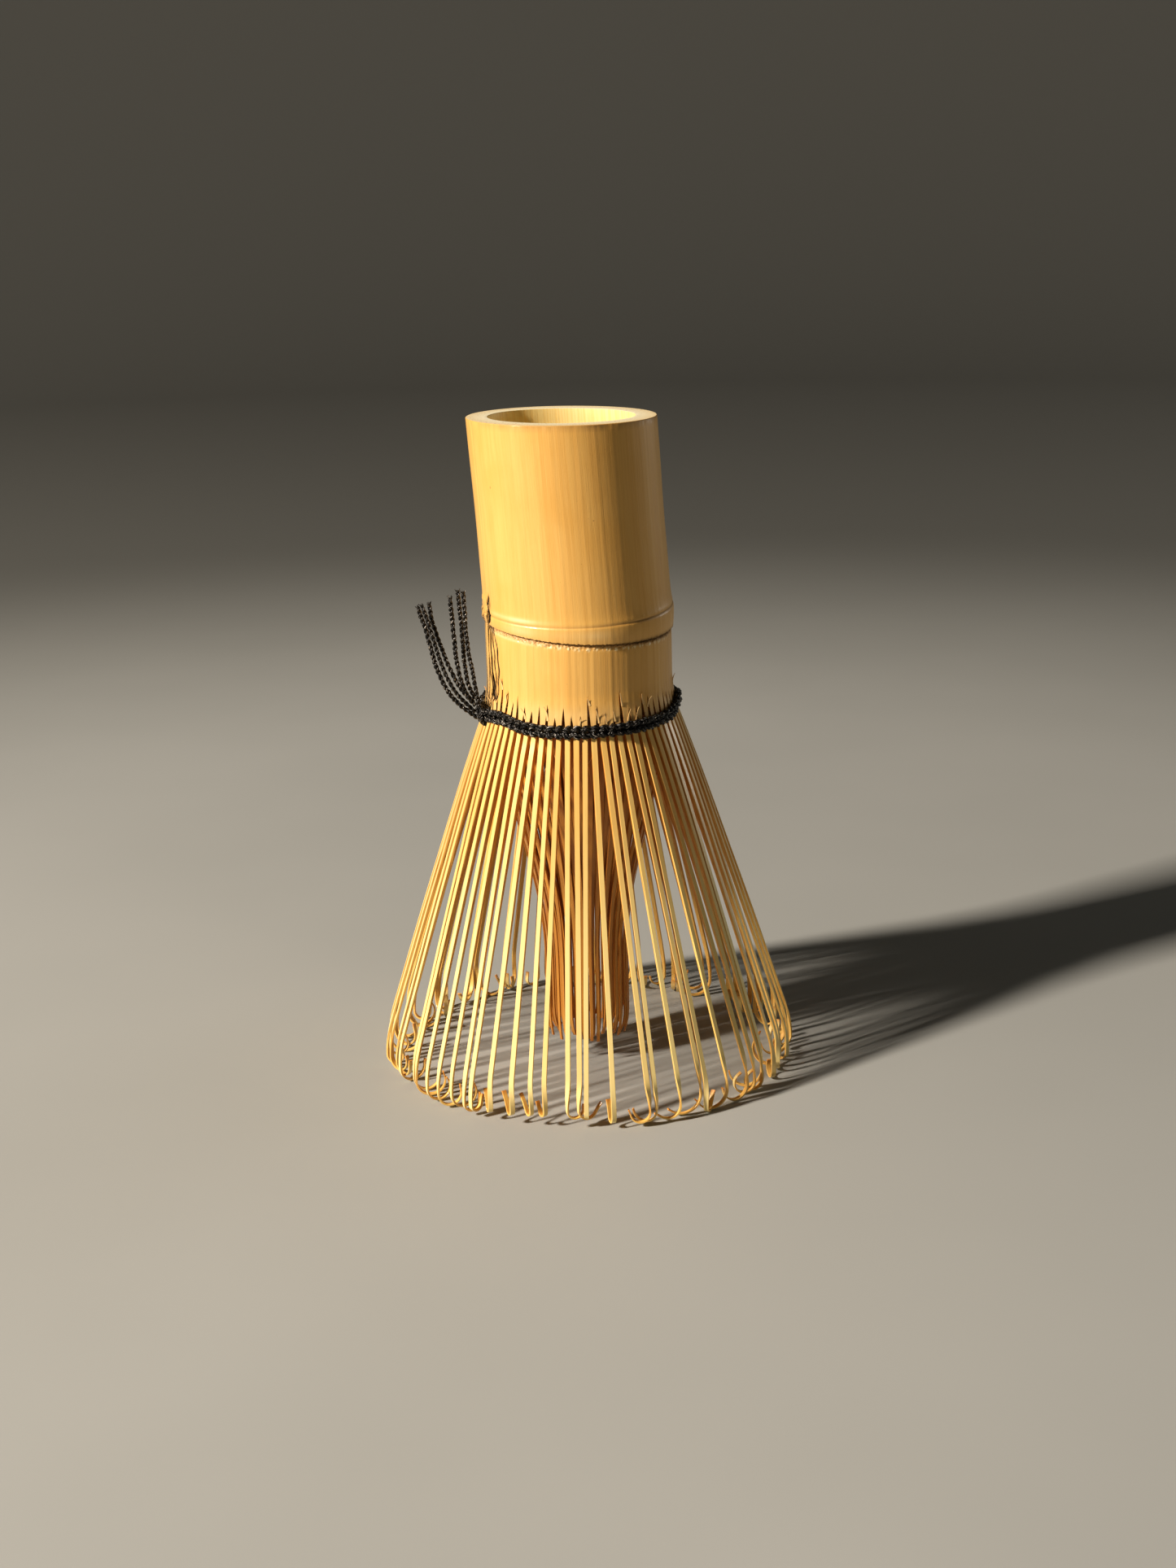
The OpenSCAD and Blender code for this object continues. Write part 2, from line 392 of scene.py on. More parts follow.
def culm_bore():
    """The pale lining of the hollow."""
    n = Nodes("culm_bore")
    streak = n.noise(n.stretched((2.6, 0.06, 1.0)), detail=4)
    colour = n.mix(n.span(streak, 0.35, 0.65), (0.86, 0.66, 0.27), (0.90, 0.75, 0.36))
    thin = n.noise(n.stretched((11.0, 0.15, 1.0)), detail=2)
    colour = n.mix(n.span(thin, 0.62, 0.76, 0.0, 0.30), colour, (0.62, 0.38, 0.12))
    return n.shade(Base_Color=colour, Roughness=0.52, Normal=n.bump(streak, 0.00008, 0.5))


def septum_pith():
    """The papery wall that closes the culm at the node."""
    n = Nodes("septum_pith")
    cloud = n.noise(n.attribute("flat", "Vector"), 0.55, detail=5)
    flake = n.noise(n.attribute("flat", "Vector"), 3.0, detail=4)
    colour = n.mix(n.span(cloud, 0.35, 0.65), (0.60, 0.42, 0.20), (0.85, 0.72, 0.47))
    colour = n.mix(n.span(flake, 0.55, 0.75, 0.0, 0.5), colour, (0.48, 0.30, 0.13))
    return n.shade(Base_Color=colour, Roughness=0.75, Normal=n.bump(flake, 0.0001, 0.6))


def split_bamboo(name, face, face_dark, tip_face, tip_side, side, side_dark):
    """A split tine: polished skin outside, paler to its tip, and raw fibres on its sides and its back; the
    outer tines' bright orange sides are partly painted bounce light.
    """
    n = Nodes(name)
    fine = n.noise(n.stretched((9.0, 0.16, 3.0)), detail=3)
    broad = n.noise(n.stretched((1.2, 0.05, 1.0)), detail=2)
    fibre = n.noise(n.stretched((14.0, 0.22, 14.0)), detail=3)
    skin = n.mix(n.span(fine, 0.34, 0.68), face_dark, face)
    skin = n.mix(n.span(broad, 0.40, 0.70, 0.0, 0.35), skin, face_dark)
    skin = n.mix(n.span(n.attribute("tip"), 0.0, 1.0, 0.0, 0.75), skin, tip_face)
    raw = n.mix(n.span(fibre, 0.36, 0.64), side_dark, side)
    raw = n.mix(n.attribute("tip"), raw, n.mix(n.span(fibre, 0.36, 0.64), side, tip_side))
    colour = n.mix(n.span(n.attribute("skin"), 0.1, 0.9), raw, skin)
    darker = n.mix(1.0, colour, (0.86, 0.70, 0.52), "MULTIPLY")
    colour = n.mix(n.span(n.attribute("tone"), 0.0, 1.0, 0.0, 0.45), colour, darker)
    colour = n.mix(n.attribute("end"), colour, n.mix(1.0, colour, (0.80, 0.52, 0.30), "MULTIPLY"))
    rough = n.span(n.attribute("skin"), 0.0, 1.0, 0.50, 0.30)
    return n.shade(Base_Color=colour, Roughness=rough, Normal=n.bump(fibre, 0.000025, 0.5),
                   Coat_Weight=0.30, Coat_Roughness=0.14)


def waxed_thread():
    """Black waxed cotton, with pale patches that are partly waxy bloom and partly painted glints."""
    n = Nodes("waxed_thread")
    fibre = n.noise(n.stretched((9.0, 0.8, 9.0)), detail=3)
    colour = n.mix(n.span(fibre, 0.35, 0.70), (0.0012, 0.0010, 0.0009), (0.006, 0.005, 0.004))
    wax_and_glint = n.noise(n.stretched((2.2, 2.4, 2.2)), detail=3, roughness=0.6)
    # Pale patches: partly waxy bloom, partly painted glints where the plies would catch the key light; the
    # same patches are made shinier.
    colour = n.mix(n.span(wax_and_glint, 0.60, 0.64, 0.0, 0.85), colour, (0.50, 0.46, 0.40))
    rough = n.span(wax_and_glint, 0.40, 0.60, 0.40, 0.18)
    return n.shade(Base_Color=colour, Roughness=rough, Normal=n.bump(fibre, 0.00010, 0.9),
                   Specular_IOR_Level=0.6)


def plain_floor():
    """A pale matt table that goes dark grey from 0.22 m to 0.55 m out, painted shade for shadowed
    surroundings, and so a dark wall round it.
    """
    n = Nodes("floor")
    place = n.node("TexCoord").outputs["Object"]
    cloud = n.noise(place, 6.0, detail=3)
    colour = n.mix(n.span(cloud, 0.3, 0.7), (0.395, 0.413, 0.405), (0.425, 0.443, 0.435))
    far = n.node("VectorMath", {"operation": "LENGTH"}, Vector=place).outputs["Value"]
    # Painted shade: dark grey away from the whisk, standing in for the shadowed room round the table.
    colour = n.mix(n.span(far, 0.22, 0.55), colour, (0.150, 0.156, 0.148))
    return n.shade(Base_Color=colour, Roughness=0.7)


SKIN, END, BORE, PITH = culm_skin(), culm_end(), culm_bore(), septum_pith()
# The outer tines' sides are a bright, saturated orange: partly raw bamboo, partly painted light standing in
# for light bounced between the tines and shining through them.
OUTER = split_bamboo("outer_tine", face=(0.89, 0.65, 0.25), face_dark=(0.82, 0.56, 0.19),
                     tip_face=(0.95, 0.83, 0.41), tip_side=(0.88, 0.68, 0.24),
                     side=(0.80, 0.43, 0.095), side_dark=(0.60, 0.27, 0.05))
INNER = split_bamboo("inner_tine", face=(0.72, 0.38, 0.08), face_dark=(0.58, 0.27, 0.05),
                     tip_face=(0.74, 0.42, 0.11), tip_side=(0.58, 0.27, 0.05),
                     side=(0.70, 0.34, 0.065), side_dark=(0.50, 0.20, 0.035))
THREAD = waxed_thread()


# ---- the culm's surface ----

def ridge_z(azimuth):
    """The line of the node's ridge, which dips to the front."""
    return NODE_TOP + 0.5 - 1.05 * cos_az(azimuth) + 0.04 * ripple(azimuth, (3, 5, 9), 3)


def torn(azimuth):
    """The ragged ends of fibres along the sheath scar, of about unit height."""
    return 0.5 * ripple(azimuth, (61, 83, 127, 171), 12, 0.0)


def crumbs(azimuth, z):
    """Small lumps in both directions, of about unit height."""
    slanted = azimuth + 4 * np.sin(1.9 * z)
    upward = np.sin(7 * z + ripple(azimuth, (17, 31, 47), 14, 0.0))
    return 0.45 * ripple(slanted, (29, 43, 59, 83, 107, 149), 13, 0.0) * upward


def scar_z(azimuth):
    """The line of the sheath scar, which is lowest to the front right."""
    ragged = 0.05 * torn(azimuth) * ease(-50, -25, wrap(azimuth))
    line = NODE_TOP - 2.4 - 1.0 * cos_az(azimuth) - 1.1 * sin_az(azimuth)
    return line + 0.05 * ripple(azimuth, (4, 7, 13), 5) + ragged


def band_z(azimuth):
    """The line of the thread: it dips to the front, and it climbs near the knot and on the right."""
    climb = 0.75 * bell(wrap(azimuth), -52, 14) + 1.1 * bell(wrap(azimuth), 84, 11)
    return CROWN_Z + 1.45 - 0.95 * cos_az(azimuth) + climb + 0.07 * ripple(azimuth, (5, 8, 11), 8)


def rim_z(azimuth):
    """The top edge, which was sawn a little out of square."""
    return RIM_Z + 0.22 + 0.22 * cos_az(azimuth) - 0.14 * sin_az(azimuth)


BUD_AZ = -70.0
FLARE_H = 6.5           # height over which the culm widens to the thread


def out_of_round(azimuth):
    """The culm isn't a true circle."""
    return 0.05 * ripple(azimuth, (2, 3), 4)


def bud_groove(z):
    """Azimuth of the crack that runs through the bud scar."""
    return BUD_AZ + 2.2 - 2.6 * bell(z, NODE_TOP + 1.5, 0.7) + 2.0 * bell(z, NODE_TOP - 0.6, 0.8)


def wrinkles(azimuth, z):
    """Depth, from 0 to 1, of the creases that run from the bud to the knot."""
    top, bottom = NODE_TOP - 1.5, CROWN_Z + 3.6
    along = np.clip((top - z) / (top - bottom), 0, 1)
    spread = np.sin(np.pi * along ** 0.8) ** 0.7
    depth = 0
    for reach, width in ((-6.0, 1.2), (-0.8, 1.3), (4.0, 0.9), (8.4, 0.8)):
        line = BUD_AZ + 1.5 + 6.0 * along ** 2 + reach * spread + 0.5 * np.sin(z * 1.7 + reach)
        depth = np.maximum(depth, bell(azimuth, line, width * (0.7 + 0.4 * spread)))
    return depth * ease(-0.02, 0.06, along) * (1 - ease(0.96, 1.0, along))


def crack(azimuth, z):
    """Depth, from 0 to 1, of the crack through the bud scar."""
    ends = ease(-1.7, -0.9, z - NODE_TOP) * (1 - ease(2.4, 3.4, z - NODE_TOP))
    return bell(azimuth, bud_groove(z), 1.35) * ends


def node_relief(azimuth, z, ridge, scar, on_node):
    """How far the node stands proud: a ridge over a groove, a full belly, and a step in under the scar."""
    belly = 0.10 * np.sin(np.pi * np.clip((ridge - z) / (ridge - scar), 0, 1))
    shoulder = 0.30 * np.exp(-np.clip(z - ridge, 0, None) / 1.0)
    relief = np.where(z < ridge, 0.30 + belly, shoulder) * on_node
    relief = relief - 0.13 * bell(z, ridge - 0.08, 0.22) * on_node
    relief = relief - 0.26 * (1 - on_node) * np.exp(-np.clip(scar - z, 0, None) / 0.6)
    flaky = 0.25 + 0.75 * ease(-52, -36, azimuth) * (1 - 0.6 * ease(-8, 8, azimuth))
    return relief + 0.15 * crumbs(azimuth, z) * bell(z, scar - 0.50, 0.42) * flaky


def bud_relief(azimuth, z):
    """The bud scar's two lumps, with the crack through them and the creases under them."""
    upper = 0.30 * bell(azimuth, BUD_AZ - 8, 5.0) * bell(z, NODE_TOP + 2.2, 0.75)
    lower = 0.36 * bell(azimuth, BUD_AZ - 5, 4.0) * bell(z, NODE_TOP - 0.6, 0.75)
    swelling = 0.12 * bell(azimuth, BUD_AZ + 6, 9) * bell(z, CROWN_Z + 10, 6)
    return upper + lower + swelling - 0.60 * crack(azimuth, z) - 0.34 * wrinkles(azimuth, z)


def culm_outside(azimuth, z):
    """Outer radius of the culm, with its ridge, scar, bud and shaving marks."""
    az, ridge, scar = wrap(azimuth), ridge_z(azimuth), scar_z(azimuth)
    on_node = ease(-0.05, 0.10, z - scar)
    r = ROOT_R + (HANDLE_R - ROOT_R) * ease(scar, ridge, z)
    waist = 0.10 * bell(z, 95, 8)
    flare = (BAND_R - ROOT_R) * np.clip((CROWN_Z + FLARE_H - z) / FLARE_H, 0, 1) ** 1.5
    shaving = 0.007 * ripple(azimuth, (13, 17, 29, 41, 67, 97), 21, 0.0) * (1 - 0.5 * on_node)
    r = r - waist + flare + shaving + out_of_round(azimuth)
    return r + node_relief(az, z, ridge, scar, on_node) + bud_relief(az, z)


def culm_marks(azimuth, z):
    """Masks for the culm's material: dark lines, partly brown staining and partly painted shade; the porous
    sheath scar; pale broken fibres with painted highlights.
    """
    az, ridge, scar = wrap(azimuth), ridge_z(azimuth), scar_z(azimuth)
    patch = np.clip(0.5 + 0.35 * ripple(azimuth, (5, 9, 14), 31, 0.3), 0, 1)
    # How far round to the right a point is; that side faces away from the key light, and the ridge and scar
    # lines are painted darker and wider there as shade.
    right = ease(5, 60, az)
    stain = highest(
        # Ridge line: brown in its groove, darker and wider to the right as painted shade.
        (0.45 + 0.30 * right) * bell(z, ridge - 0.10, 0.14 + 0.06 * right) * (0.5 + 0.5 * patch),
        # Scar line: dark brown, much wider and darker to the right as painted shade under the scar's ledge.
        (0.80 + 0.20 * right) * bell(z, scar - 0.10, 0.17 + 0.30 * right) * (0.75 + 0.25 * patch),
        # Crack through the bud: painted shade, near black.
        ease(0.08, 0.35, crack(az, z)),
        # Creases under the bud: painted shade, near black.
        ease(0.22, 0.52, wrinkles(az, z)),
        # A dark spot to the right of the crack.
        0.8 * bell(az, BUD_AZ + 4.5, 0.9) * bell(z, NODE_TOP + 1.6, 0.8),
        # Painted shadow: a thin dark line just under the rim's outer edge, from the left front round by the
        # right to the back.
        0.30 * ease(-0.32, -0.12, z - rim_z(azimuth)) * ease(-70, -20, az))
    fray = 0.6 * torn(azimuth) + 0.6 * crumbs(azimuth, z)
    sheath = highest(
        bell(z, scar - 0.35 - 0.08 * fray, 0.42) * np.clip(1.2 - 0.013 * np.abs(az + 45), 0.55, 1),
        0.8 * bell(az, BUD_AZ - 3.0, 3.0) * bell(z, NODE_TOP - 0.7, 0.6))
    pale = highest(
        bell(z, scar - 0.70 - 0.18 * fray, 0.24) * between(-42, -15, 60, 80, az) * ease(-0.1, 0.6, fray),
        0.40 * bell(z, scar - 0.95, 0.2) * between(-75, -60, -35, -20, az),
        # Painted highlight above the ridge on the lit left.
        0.75 * bell(z, ridge + 0.55, 0.32) * between(-68, -50, -25, -5, az) * patch,
        # Painted highlight across the node's band, between the ridge and the scar.
        0.35 * bell(z, (ridge + scar) / 2, 0.8) * between(-60, -35, 5, 30, az) * patch,
        0.20 * (1 - ease(CROWN_Z + 2.5, CROWN_Z + 5.5, z)))
    return stain, sheath, np.clip(pale, 0, 1)


def axis_x(z):
    """The culm's axis leans to -X above the node."""
    h = np.clip(z - NODE_TOP + 1.0, 0, None)
    return -LEAN * (h - 1.0 + np.exp(-h))


def turned(name, rows, columns, materials):
    """A closed shape turned about the culm's axis. Each of its rows is a radius, a height and a material."""
    azimuth = np.linspace(-180, 180, columns, endpoint=False)
    radii, heights, slots = zip(*rows(azimuth))
    radii = np.stack([r + 0 * azimuth for r in radii])
    heights = np.stack([h + 0 * azimuth for h in heights])
    az = np.broadcast_to(azimuth, radii.shape)
    verts = polar(az, radii, heights)
    verts[..., 0] += axis_x(heights)
    stain, sheath, pale = culm_marks(az, heights)
    grain = np.stack([np.radians(az) * HANDLE_R, heights, radii], axis=-1)
    depth = np.clip((radii - BORE_R) / (HANDLE_R - BORE_R), 0, 1)
    values = {"grain": grain.reshape(-1, 3), "stain": stain.ravel(), "sheath": sheath.ravel(),
              "pale": pale.ravel(), "depth": depth.ravel(), "flat": (verts * (1, 1, 0)).reshape(-1, 3)}
    faces = grid_faces(len(slots), columns, close_rows=True)
    face_material = np.repeat(slots, columns).tolist()
    return make_object(name, verts.reshape(-1, 3), faces, materials, values, face_material=face_material)


# ---- handle, node and septum ----

COLUMNS = 1080
ON_SKIN, ON_END, ON_BORE = 0, 1, 2      # material slots of the handle and the node
SEAM_DROP = 0.16        # how far under the ridge's line the handle meets the node
BORE_FLARE = 0.12       # how much wider the hollow is there than the bore


def handle_rows(azimuth):
    """Up the outside from the ridge, over the rim, and down the bore."""
    seam, rim = ridge_z(azimuth) - SEAM_DROP, rim_z(azimuth)
    edge, lip = 0.16, 0.10
    rows = []
    for t in np.concatenate([np.linspace(0, 1, 12) ** 1.4 * 0.10, np.linspace(0.12, 1, 26)]):
        z = seam + (rim - edge - seam) * t
        rows.append((culm_outside(azimuth, z), z, ON_SKIN))
    worn = 0.02 * ripple(azimuth, (6, 11, 19), 41, 0.3)
    for degrees in np.linspace(15, 90, 6):
        a = np.radians(degrees)
        r = HANDLE_R + out_of_round(azimuth) - edge * (1 - np.cos(a)) + worn
        rows.append((r, rim - edge * (1 - np.sin(a)), ON_SKIN if degrees < 70 else ON_END))
    bore = BORE_R - 0.25 + 0.08 * ripple(azimuth, (2, 3, 5), 51, 0.5)
    for t in (0.2, 0.4, 0.6, 0.8, 1.0):
        z = rim - 0.015 + 0.015 * ripple(azimuth, (2, 5, 9), 61, 0.4) * (t < 1)
        rows.append((HANDLE_R - edge + (bore + lip - HANDLE_R + edge) * t, z, ON_END))
    for a in np.radians(np.linspace(30, 90, 3)):
        rows.append((bore + lip * (1 - np.sin(a)), rim - lip * (1 - np.cos(a)) - 0.01, ON_BORE))
    bottom = seam - 0.4
    for t in np.linspace(0.05, 1, 14):
        rows.append((bore + (BORE_R + BORE_FLARE - bore) * t, rim - lip + (bottom - rim + lip) * t, ON_BORE))
    return rows


def make_handle():
    handle = turned("handle", handle_rows, COLUMNS, [SKIN, END, BORE])
    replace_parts(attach(handle, "handle"), "handle_tube")


def node_rows(azimuth):
    """Up the outside from the sheath scar to the ridge, in to the bore, and down the inside."""
    low, high = scar_z(azimuth), ridge_z(azimuth) - SEAM_DROP
    rows = [(culm_outside(azimuth, low - 0.35), low - 0.02, ON_SKIN)]
    for t in np.linspace(0.0, 1, 26):
        z = low + 0.02 + (high - low - 0.02) * t
        rows.append((culm_outside(azimuth, z), z, ON_SKIN))
    for t in (0.33, 0.66, 1.0):
        rows.append((HANDLE_R + (BORE_R + BORE_FLARE - HANDLE_R) * t, high - 0.4 * t, ON_END))
    for t in (0.5, 1.0):
        rows.append((BORE_R + BORE_FLARE, high - 0.4 + (low - 0.6 - high + 0.4) * t, ON_BORE))
    rows.append(((BORE_R + ROOT_R) / 2, low - 0.4, ON_BORE))
    return rows


def make_node():
    node = turned("culm_node_ring", node_rows, COLUMNS, [SKIN, END, BORE])
    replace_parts(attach(node, "handle"), "node_ring")


def septum_rows(azimuth):
    """A shallow dish with a thicker edge, closed at the middle on both sides."""
    top, bottom = septum_high[2], septum_low[2]
    edge = BORE_R + 0.10
    rows = []
    for t in np.linspace(0.02, 1, 16):
        rough = 0.05 * ripple(azimuth, (3, 5, 8, 13), 70 + int(9 * t), 0.5) * t * (1 - t) * 4
        rows.append((edge * t, top - 0.75 * (1 - t ** 3) + rough, 0))
    for t in np.linspace(1, 0.02, 12):
        rows.append((edge * t, bottom - 0.2 * (1 - t ** 3), 0))
    return rows


def make_septum():
    septum = turned("node_septum_disc", septum_rows, 120, [PITH])
    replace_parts(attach(septum, "handle"), "node_septum")


# ---- root comb ----

COMB_COLUMNS = 13       # columns of faces across one land
COMB_SHARP = 40         # edges sharper than this many degrees aren't smoothed
LAND_END = 0.55         # how far below the thread's line a land ends
SLIT_HALF_W = 0.33
LONG_SLITS = 12


def comb_heights(azimuth):
    """Heights of the comb's rows: from the scar down to the slits, then evenly to the lands' ends."""
    top = scar_z(azimuth) - 0.03
    slit_top = CROWN_Z + 8.5
    end = band_z(azimuth) - LAND_END
    rows = []
    for t in np.concatenate([np.linspace(0, 0.22, 9), np.linspace(0.29, 1, 10)]):
        rows.append(top + (slit_top - top) * t)
    for t in np.linspace(0, 1, 31)[1:]:
        rows.append(slit_top + (end - slit_top) * t)
    return rows


def comb_slits():
    """Azimuth of each slit, the height where it starts, its drift to the side, and half its width."""
    azimuth = wrap(PITCH * np.arange(TINES))
    length = rng.uniform(3.0, 5.2, TINES) - 1.0 * bell(azimuth, -10, 18)
    length[rng.choice(TINES, LONG_SLITS, replace=False)] += rng.uniform(0.6, 2.2, LONG_SLITS)
    apex = np.minimum(band_z(azimuth) + length, CROWN_Z + 8.2)
    tilt = rng.normal(0, 0.05, TINES)
    return azimuth, apex, tilt, SLIT_HALF_W * rng.uniform(0.8, 1.2, TINES)


def slit_edge(slits, i, z):
    """Half of one slit's width at heights z, and how far it has drifted to the side."""
    _, apex, tilt, half = slits
    opening = half[i] * np.clip((apex[i] - z) / (apex[i] - CROWN_Z - 1), 0, None) ** 0.72
    drift = tilt[i] * np.clip(z - CROWN_Z - 1.5, 0, 5) * ease(-0.3, 0.5, apex[i] - z)
    return opening / BAND_R, drift / BAND_R


def land_faces(rows, columns, open_left, open_right):
    """Faces of one land: its outside and its inside, its two ends, and its sides where a slit is open."""
    width = 2 * columns
    last = (rows - 1) * width
    faces = []
    for i in range(rows - 1):
        for j in range(width):
            m = (j + 1) % width
            closed_right = j == columns - 1 and not open_right[i:i + 2].any()
            closed_left = j == width - 1 and not open_left[i:i + 2].any()
            if not (closed_right or closed_left):
                faces.append([i * width + j, i * width + m, (i + 1) * width + m, (i + 1) * width + j])
    for j in range(columns - 1):
        faces.append([j, width - 1 - j, width - 2 - j, j + 1])
        faces.append([last + j, last + j + 1, last + width - 2 - j, last + width - 1 - j])
    return faces


def add_land(parts, cell, slits):
    """One land of the comb, between two slits. Above them it meets its neighbours."""
    centre = PITCH * cell + PITCH / 2
    fractions = np.linspace(-1, 1, COMB_COLUMNS + 1)
    z = np.stack(comb_heights(centre + fractions * PITCH / 2))
    open_l, drift_l = slit_edge(slits, cell, z[:, 0])
    open_r, drift_r = slit_edge(slits, (cell + 1) % TINES, z[:, -1])
    low = -PITCH / 2 + np.degrees(open_l + drift_l)
    high = PITCH / 2 - np.degrees(open_r - drift_r)
    az = centre + (low[:, None] + (high - low)[:, None] * (fractions[None, :] + 1) / 2)
    opened = 1 - ease(CROWN_Z + 3.0, CROWN_Z + 7.5, z)
    outer_r = culm_outside(az, z)
    inner_r = WALL_IN_R + (LAND_IN_R - WALL_IN_R) * opened
    uneven = 0.02 * np.sin(z * 2.3 + cell) * opened
    verts = np.concatenate([polar(az, outer_r + uneven, z), polar(az, inner_r, z)[:, ::-1]], axis=1)
    shell_az = np.concatenate([az, az[:, ::-1]], axis=1)
    shell_z = np.concatenate([z, z[:, ::-1]], axis=1)
    shell_r = np.concatenate([outer_r, inner_r[:, ::-1]], axis=1)
    skin = np.concatenate([np.ones_like(az), np.zeros_like(az)], axis=1)
    stain, sheath, pale = (mask * skin for mask in culm_marks(shell_az, shell_z))
    grain = np.stack([np.radians(shell_az) * HANDLE_R, shell_z, shell_r], axis=-1)
    parts.add(verts.reshape(-1, 3), land_faces(*z.shape, open_l > 0, open_r > 0), stain=stain.ravel(),
              sheath=sheath.ravel(), pale=pale.ravel(), grain=grain.reshape(-1, 3), raw=(1 - skin).ravel())


def make_comb():
    """The culm under the node, cut from below into 72 lands, the roots of the outer tines."""
    slits = comb_slits()
    parts = Parts()
    for cell in range(TINES):
        add_land(parts, cell, slits)
    for azimuth, apex, _, half in zip(*slits):
        if rng.random() < 0.40 or 4 < azimuth < 42:
            slit_splinter(parts, azimuth, apex, half)
    comb = parts.build("root_comb_culm", SKIN, sharp=COMB_SHARP)
    weld(comb, 0.002)
    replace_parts(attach(comb, "handle"), "root_comb")


def slit_splinter(parts, azimuth, apex, half):
    """A flat sliver that peels off one side of a slit and curls."""
    sign = rng.choice([-1, 1])
    length, curl = rng.uniform(1.2, 2.8), rng.uniform(0.25, 0.8)
    t = np.linspace(0, 1, 9)
    z = apex - 0.2 - length * (1 - t)
    along_slit = np.degrees((0.75 * half * (1 - t) - 0.1 * t) / BAND_R)
    az = azimuth + sign * (along_slit - 1.2 * curl * t ** 3)
    path = polar(az, culm_outside(az, z) + 0.02 + curl * t ** 2, z)
    heading = tangents(path)
    across = unit(np.cross(unit(polar(azimuth, 1.0, 0.0)), heading))
    half_w, half_t = 0.19 * (1 - 0.75 * t), 0.05 * (1 - 0.5 * t)
    verts, faces = sweep(path, across, np.cross(heading, across), BAR, half_w, half_t)
    grain = np.stack([verts[:, 0] + azimuth, verts[:, 2], verts[:, 1]], axis=1)
    parts.add(verts, faces, stain=0.0, sheath=0.0, pale=0.35, grain=grain, raw=0.0)


def weld(obj, distance_mm):
    """Joins vertices that lie on each other, and marks the sharp edges again."""
    work = bmesh.new()
    work.from_mesh(obj.data)
    bmesh.ops.remove_doubles(work, verts=work.verts, dist=distance_mm * MM)
    bmesh.ops.recalc_face_normals(work, faces=work.faces)
    work.to_mesh(obj.data)
    work.free()
    obj.data.set_sharp_from_angle(angle=math.radians(COMB_SHARP))


# ---- tines ----

# A tine's section, from -1 to 1 each way, with its corners cut, and how much skin each of its points has
CORNER = 0.12
BAR = [(-1 + CORNER, 1), (1 - CORNER, 1), (1, 1 - 2 * CORNER), (1, -1 + 2 * CORNER),
       (1 - CORNER, -1), (-1 + CORNER, -1), (-1, -1 + 2 * CORNER), (-1, 1 - 2 * CORNER)]
BAR_SKIN = np.array([1, 1, 0.25, 0, 0, 0, 0, 0.25])

FIRST_GROUP_AZ = 90

ROOT_HALF_T = 0.35      # half of an outer tine's thickness where it leaves the culm
ROOT_SLOPE = math.radians(13)
TINE_SLOPE = 18.5       # slope of an outer tine, in degrees
BULGE = math.radians(0.9)               # how much steeper its foot is than its middle
KNEE = 4.0              # length over which the root's slope changes to the tine's
BEND_R = 19.0           # radius of the bend above the hook
STEP = 0.15

# The front tines, from the left to the right: the tip's lean and the hook's turn to the side in degrees
# (positive to the right), the hook's radius, how far round it goes in degrees, and its straight leg
FRONT_FIRST = -62.5
FRONT_TINES = [
    (2.0, 10, 2.2, 190, 0.5), (0.5, 25, 2.4, 200, 0.5), (1.0, 15, 2.0, 215, 0.5),
    (1.5, 30, 1.9, 190, 1.0), (1.0, 20, 2.2, 205, 0.5), (1.0, 30, 1.3, 180, 1.5),
    (-1.5, 15, 1.1, 170, 1.5), (-1.0, -45, 0.7, 158, 3.0), (0.7, -52, 0.6, 156, 3.4),
    (1.2, -55, 0.6, 154, 3.2), (0.0, -50, 0.7, 160, 1.8), (1.8, 66, 1.3, 178, 0.8),
    (-0.2, 66, 1.5, 150, 1.8), (-3.5, 0, 1.2, 170, 1.0), (-1.3, -16, 0.7, 168, 2.8),
    (3.4, -80, 1.6, 165, 1.0), (0.4, -60, 1.9, 165, 0.5), (2.3, -74, 2.1, 125, 1.0),
    (4.5, -76, 3.1, 128, 0.5), (1.2, 60, 0.7, 152, 2.8), (3.0, -75, 2.8, 145, 1.0),
    (6.0, -75, 2.3, 170, 0.5), (5.5, -60, 1.8, 235, 0.5), (4.0, -70, 1.7, 250, 0.5)]


def group_azimuths(group, groups):
    """Azimuths of the tines in one group."""
    size = TINES // groups
    middle = FIRST_GROUP_AZ + group * 360 / groups + PITCH / 2
    return [float(wrap(middle + (k - (size - 1) / 2) * PITCH)) for k in range(size)]


def place_group(parts, crown, group, material):
    """One group of tines, built as one mesh in place of its CAD node."""
    number = f"{group + 1:02d}"
    tines = parts.build(f"{crown}_tine_group_{number}", material)
    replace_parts(tines, f"{crown}_tines_{number}")
    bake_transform(tines)


